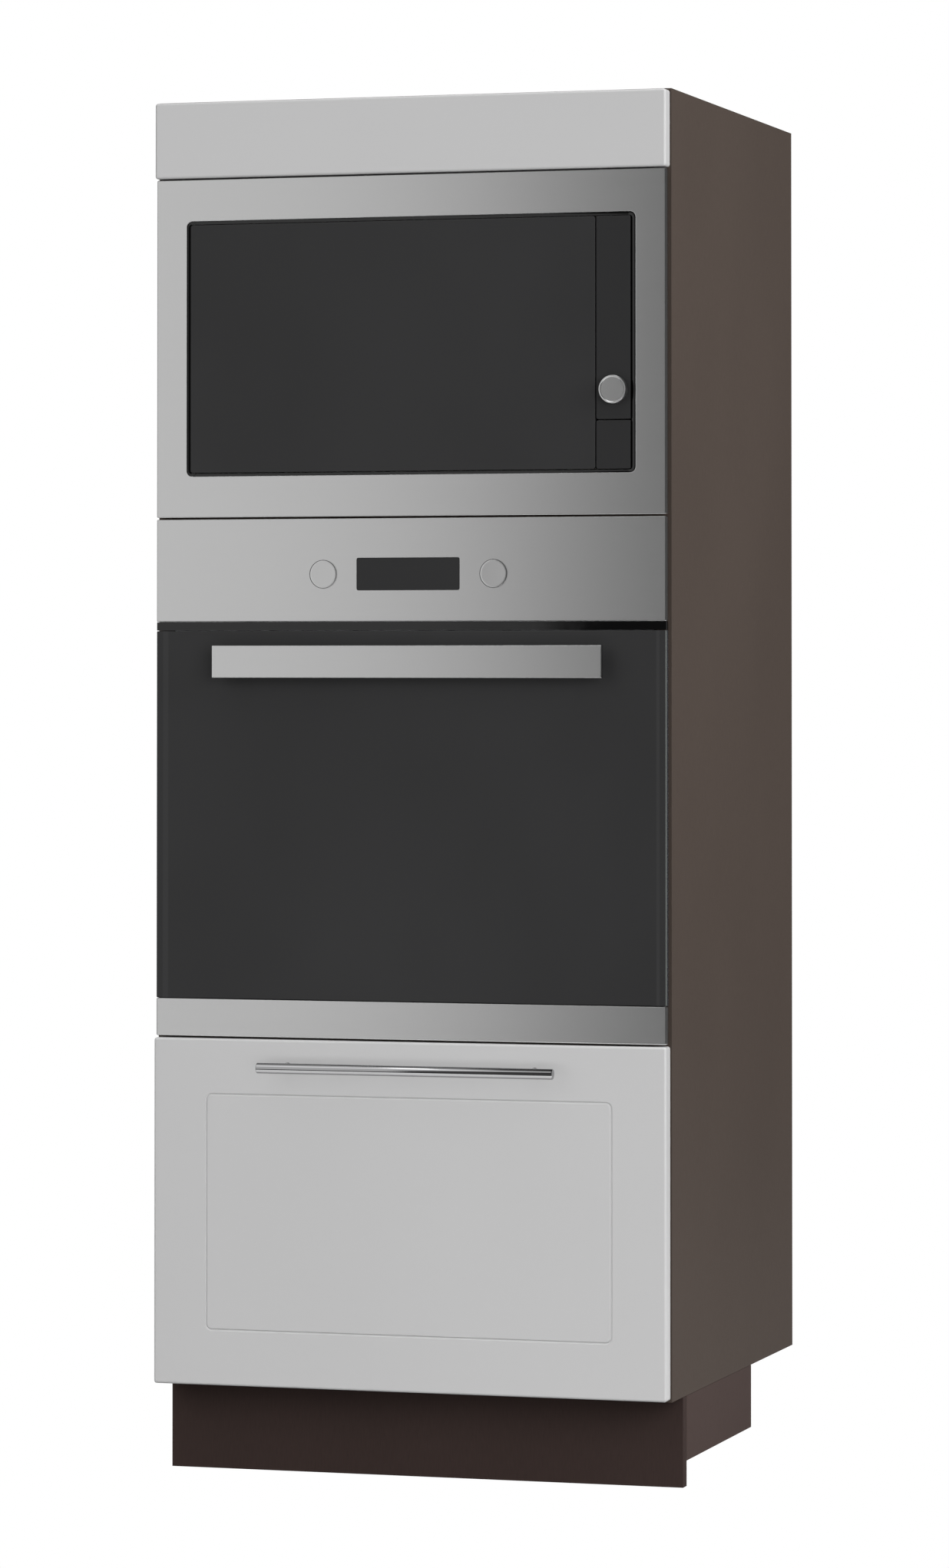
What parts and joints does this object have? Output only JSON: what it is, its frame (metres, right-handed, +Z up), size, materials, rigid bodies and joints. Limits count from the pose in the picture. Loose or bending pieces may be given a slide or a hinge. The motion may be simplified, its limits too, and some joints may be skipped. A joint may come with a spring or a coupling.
{
  "type": "tall_oven_housing_unit",
  "caption": "Tall kitchen housing unit with a plinth, a deep drawer, a built-in oven with drop-down door, a built-in microwave with side-hung door and a filler panel",
  "frame": {"origin": "on the floor, at the centre of the bounding box's footprint", "axes": "+X to the right seen from the front, +Y from the front to the back, +Z up"},
  "size_m": [0.6, 0.6104, 1.548],
  "materials": {
    "carcass_board": "dark melamine-faced board, fine matt texture",
    "front_lacquer": "light grey satin lacquer on board",
    "plinth_board": "dark melamine-faced board, matt",
    "moulded_plastic": "black moulded plastic",
    "brushed_steel": "stainless steel brushed from left to right",
    "chrome_bar": "polished chrome",
    "runner_steel": "grey powder-coated steel",
    "galvanised_steel": "galvanised sheet steel",
    "cavity_enamel": "dark speckled enamel",
    "dark_glass": "tinted glass, printed black at the edges",
    "gloss_black": "glossy black moulding",
    "clear_glass": "clear toughened glass",
    "seal_rubber": "black silicone rubber",
    "cavity_paint": "pale baked paint"
  },
  "bodies": {
    "housing": {"side_panel_left": "carcass_board", "side_panel_right": "carcass_board", "bottom_panel": "carcass_board", "top_panel": "carcass_board", "oven_shelf": "carcass_board", "microwave_shelf": "carcass_board", "upper_rail": "carcass_board", "back_panel": "carcass_board", "back_rail": "carcass_board", "plinth_front": "plinth_board", "plinth_return_left": "plinth_board", "plinth_return_right": "plinth_board", "leg_front_left": "moulded_plastic", "leg_front_right": "moulded_plastic", "leg_rear_left": "moulded_plastic", "leg_rear_right": "moulded_plastic", "filler_panel": "front_lacquer", "runner_fixed_left": "runner_steel", "runner_fixed_right": "runner_steel", "oven_casing": "galvanised_steel", "oven_cavity": "cavity_enamel", "oven_door_seal": "seal_rubber", "grill_element": "galvanised_steel", "oven_fan_cover": "cavity_enamel", "oven_fascia": "brushed_steel", "oven_display": "dark_glass", "oven_trim_strip": "gloss_black", "oven_hinge_left": "galvanised_steel", "oven_hinge_right": "galvanised_steel", "microwave_frame": "brushed_steel", "microwave_bezel": "gloss_black", "microwave_casing": "galvanised_steel", "microwave_cavity": "cavity_paint", "microwave_control_panel": "dark_glass"},
    "drawer": {"drawer_front": "front_lacquer", "drawer_handle": "chrome_bar", "drawer_base": "front_lacquer", "drawer_back": "front_lacquer", "drawer_side_left": "runner_steel", "drawer_side_right": "runner_steel"},
    "runner_left": {"runner_middle_left": "runner_steel"},
    "runner_right": {"runner_middle_right": "runner_steel"},
    "oven_door": {"oven_door_glass": "dark_glass", "oven_door_rail": "brushed_steel", "oven_door_tray": "cavity_enamel", "oven_door_inner_glass": "clear_glass", "oven_door_handle": "brushed_steel"},
    "rack": {"oven_rack": "chrome_bar"},
    "tray": {"oven_tray": "cavity_enamel"},
    "fan": {"oven_fan": "galvanised_steel"},
    "knob_carrier_left": {"oven_knob_shaft_left": "galvanised_steel"},
    "knob_carrier_right": {"oven_knob_shaft_right": "galvanised_steel"},
    "knob_left": {"oven_knob_left": "brushed_steel"},
    "knob_right": {"oven_knob_right": "brushed_steel"},
    "microwave_door": {"microwave_door_glass": "dark_glass", "microwave_door_frame": "gloss_black"},
    "microwave_dial": {"microwave_knob": "chrome_bar"},
    "release_button": {"microwave_release_button": "dark_glass"},
    "turntable": {"turntable": "clear_glass"},
    "roller_ring": {"roller_ring": "moulded_plastic"}
  },
  "joints": [
    {"name": "drawer_slide", "type": "slide", "parent": "housing", "child": "drawer", "axis": [0, -1, 0], "range_m": [0, 0.48]},
    {"name": "runner_left_slide", "type": "slide", "parent": "housing", "child": "runner_left", "axis": [0, -1, 0], "range_m": [0, 0.24]},
    {"name": "runner_right_slide", "type": "slide", "parent": "housing", "child": "runner_right", "axis": [0, -1, 0], "range_m": [0, 0.24]},
    {"name": "oven_door_hinge", "type": "hinge", "parent": "housing", "child": "oven_door", "pos_m": [0, -0.26425, 0.5005], "axis": [1, 0, 0], "range_deg": [0, 90]},
    {"name": "rack_slide", "type": "slide", "parent": "housing", "child": "rack", "axis": [0, -1, 0], "range_m": [0, 0.036]},
    {"name": "tray_slide", "type": "slide", "parent": "housing", "child": "tray", "axis": [0, -1, 0], "range_m": [0, 0.036]},
    {"name": "fan_spin", "type": "hinge", "parent": "housing", "child": "fan", "pos_m": [0, 0.17625, 0.725], "axis": [0, 1, 0], "continuous": true},
    {"name": "knob_pop_left", "type": "slide", "parent": "housing", "child": "knob_carrier_left", "axis": [0, -1, 0], "range_m": [0, 0.018]},
    {"name": "knob_pop_right", "type": "slide", "parent": "housing", "child": "knob_carrier_right", "axis": [0, -1, 0], "range_m": [0, 0.018]},
    {"name": "knob_turn_left", "type": "hinge", "parent": "knob_carrier_left", "child": "knob_left", "pos_m": [-0.0995, -0.27005, 1.0125], "axis": [0, 1, 0], "continuous": true},
    {"name": "knob_turn_right", "type": "hinge", "parent": "knob_carrier_right", "child": "knob_right", "pos_m": [0.0995, -0.27005, 1.0125], "axis": [0, 1, 0], "range_deg": [0, 280]},
    {"name": "microwave_door_hinge", "type": "hinge", "parent": "housing", "child": "microwave_door", "pos_m": [-0.2533, -0.26775, 1.267], "axis": [0, 0, -1], "range_deg": [0, 95]},
    {"name": "microwave_dial_turn", "type": "hinge", "parent": "housing", "child": "microwave_dial", "pos_m": [0.2387, -0.27925, 1.215], "axis": [0, 1, 0], "range_deg": [0, 300]},
    {"name": "release_button_press", "type": "slide", "parent": "housing", "child": "release_button", "axis": [0, 1, 0], "range_m": [0, 0.003], "stiffness_N_per_m": 800, "springref_m": -0.001},
    {"name": "turntable_spin", "type": "hinge", "parent": "housing", "child": "turntable", "pos_m": [-0.035, -0.05575, 1.139], "axis": [0, 0, 1], "continuous": true},
    {"name": "roller_ring_spin", "type": "hinge", "parent": "housing", "child": "roller_ring", "pos_m": [-0.035, -0.05575, 1.139], "axis": [0, 0, 1], "continuous": true}
  ],
  "couplings": [
    {"joint": "runner_left_slide", "follows": "drawer_slide", "ratio": 0.5},
    {"joint": "runner_right_slide", "follows": "drawer_slide", "ratio": 0.5},
    {"joint": "roller_ring_spin", "follows": "turntable_spin", "ratio": 0.5}
  ]
}
